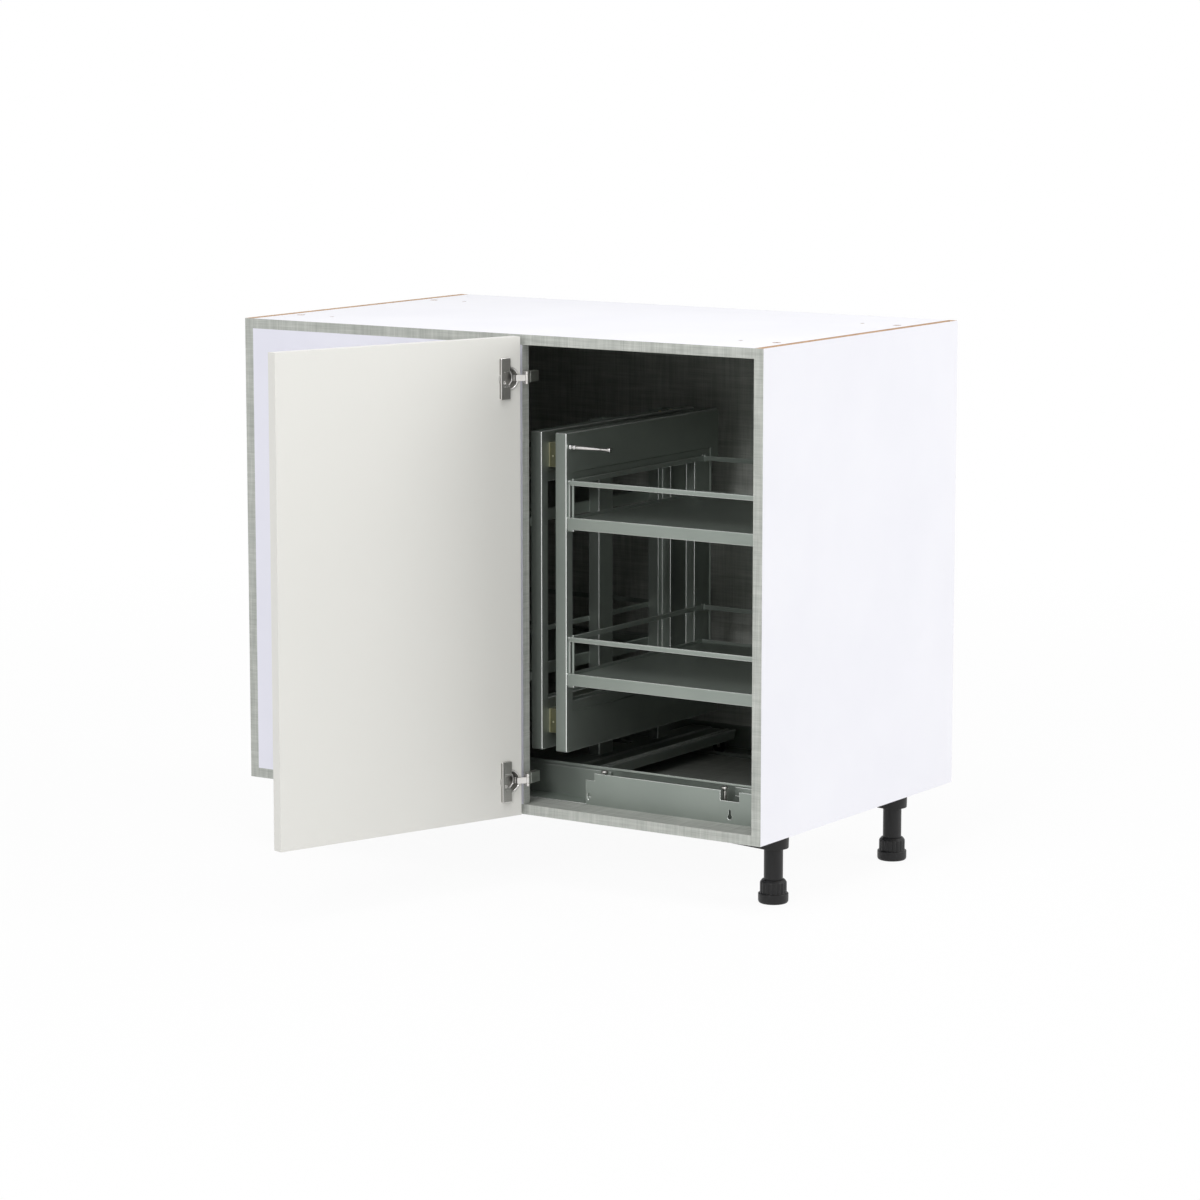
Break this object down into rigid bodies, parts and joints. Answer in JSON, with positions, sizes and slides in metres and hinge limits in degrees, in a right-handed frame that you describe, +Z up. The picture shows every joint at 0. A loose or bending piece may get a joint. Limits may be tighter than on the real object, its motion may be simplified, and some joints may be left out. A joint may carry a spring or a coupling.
{
  "type": "blind corner base cabinet",
  "caption": "Blind corner kitchen base cabinet on levelling legs, with a swing door, a fixed blind panel and a corner pull-out that carries wire-railed trays.",
  "frame": {"origin": "on the floor under the middle of the bounding box with the door open as pictured", "axes": "+X to the right side panel, +Y from the door side to the back, +Z up"},
  "size_m": [0.9906, 1.0476, 0.8763],
  "materials": {
    "board": "melamine-faced chipboard, white outside, grey linen inside",
    "blind_board": "melamine-faced chipboard, cool white",
    "linen_band": "grey linen edge band",
    "door_lacquer": "satin greige lacquer on board",
    "mechanism_paint": "grey satin powder coat",
    "slide_zinc": "yellow-passivated zinc plate",
    "handle_chrome": "bright chrome plate",
    "nickel": "nickel plate",
    "zinc": "cast zinc",
    "steel": "zinc-plated steel",
    "beech": "fluted beech dowel",
    "black_plastic": "black moulded plastic"
  },
  "bodies": {
    "carcass": {"side_panel_right": "board", "side_panel_left": "board", "top_panel": "board", "bottom_panel": "board", "back_panel": "board", "blind_panel": "blind_board", "edge_bands": "linen_band", "cam_locks": "zinc", "cam_bolts": "steel", "dowels": "beech", "socket_screws": "steel", "bracket_screws": "nickel", "front_floor_rail": "mechanism_paint", "front_rail_fascia": "mechanism_paint", "guide_rollers": "nickel", "rear_floor_rail": "mechanism_paint", "carriage_beam": "mechanism_paint", "carriage_wheels": "black_plastic", "carriage_axles": "steel", "carriage_posts": "mechanism_paint", "carriage_frame": "mechanism_paint", "rear_tray_hooks": "mechanism_paint", "leg_socket_front_right": "black_plastic", "leg_tube_front_right": "black_plastic", "leg_socket_rear_right": "black_plastic", "leg_tube_rear_right": "black_plastic", "leg_socket_front_left": "black_plastic", "leg_tube_front_left": "black_plastic", "leg_socket_rear_left": "black_plastic", "leg_tube_rear_left": "black_plastic", "hinge_arm_lower": "nickel", "hinge_bracket_lower": "nickel", "slide_outer_lower": "slide_zinc", "rear_tray_lower": "mechanism_paint", "rear_gallery_lower": "mechanism_paint", "hinge_arm_upper": "nickel", "hinge_bracket_upper": "nickel", "slide_outer_upper": "slide_zinc", "rear_tray_upper": "mechanism_paint", "rear_gallery_upper": "mechanism_paint"},
    "door": {"door_panel": "door_lacquer", "hinge_cup_lower": "nickel", "hinge_cup_upper": "nickel", "cup_screws": "nickel"},
    "hinge_links": {"hinge_link_lower": "nickel", "hinge_link_upper": "nickel"},
    "pullout": {"pullout_frame": "mechanism_paint", "front_tray_lower": "mechanism_paint", "front_tray_upper": "mechanism_paint", "front_gallery_lower": "mechanism_paint", "front_gallery_upper": "mechanism_paint", "slide_inner_lower": "slide_zinc", "slide_inner_upper": "slide_zinc", "pull_handle": "handle_chrome"},
    "slide_middles": {"slide_middle_lower": "slide_zinc", "slide_middle_upper": "slide_zinc"},
    "foot_front_right": {"foot_front_right": "black_plastic"},
    "foot_rear_right": {"foot_rear_right": "black_plastic"},
    "foot_front_left": {"foot_front_left": "black_plastic"},
    "foot_rear_left": {"foot_rear_left": "black_plastic"}
  },
  "joints": [
    {"name": "door_swing", "type": "hinge", "parent": "carcass", "child": "door", "pos_m": [0.0463, -0.09574, 0.4953], "axis": [0, 0, -1], "range_deg": [-108.5, 0]},
    {"name": "hinge_link_turn", "type": "hinge", "parent": "carcass", "child": "hinge_links", "pos_m": [0.0712, -0.09014, 0.4953], "axis": [0, 0, -1], "range_deg": [0, 43.7]},
    {"name": "pull_out", "type": "slide", "parent": "carcass", "child": "pullout", "axis": [0, -1, 0], "range_m": [0, 0.455]},
    {"name": "slide_extension", "type": "slide", "parent": "carcass", "child": "slide_middles", "axis": [0, -1, 0], "range_m": [0, 0.2276]},
    {"name": "levelling_front_right", "type": "slide", "parent": "carcass", "child": "foot_front_right", "axis": [0, 0, -1], "range_m": [0, 0.02]},
    {"name": "levelling_rear_right", "type": "slide", "parent": "carcass", "child": "foot_rear_right", "axis": [0, 0, -1], "range_m": [0, 0.02]},
    {"name": "levelling_front_left", "type": "slide", "parent": "carcass", "child": "foot_front_left", "axis": [0, 0, -1], "range_m": [0, 0.02]},
    {"name": "levelling_rear_left", "type": "slide", "parent": "carcass", "child": "foot_rear_left", "axis": [0, 0, -1], "range_m": [0, 0.02]}
  ],
  "couplings": [
    {"joint": "hinge_link_turn", "follows": "door_swing", "ratio": -0.40092},
    {"joint": "slide_extension", "follows": "pull_out", "ratio": 0.5}
  ]
}
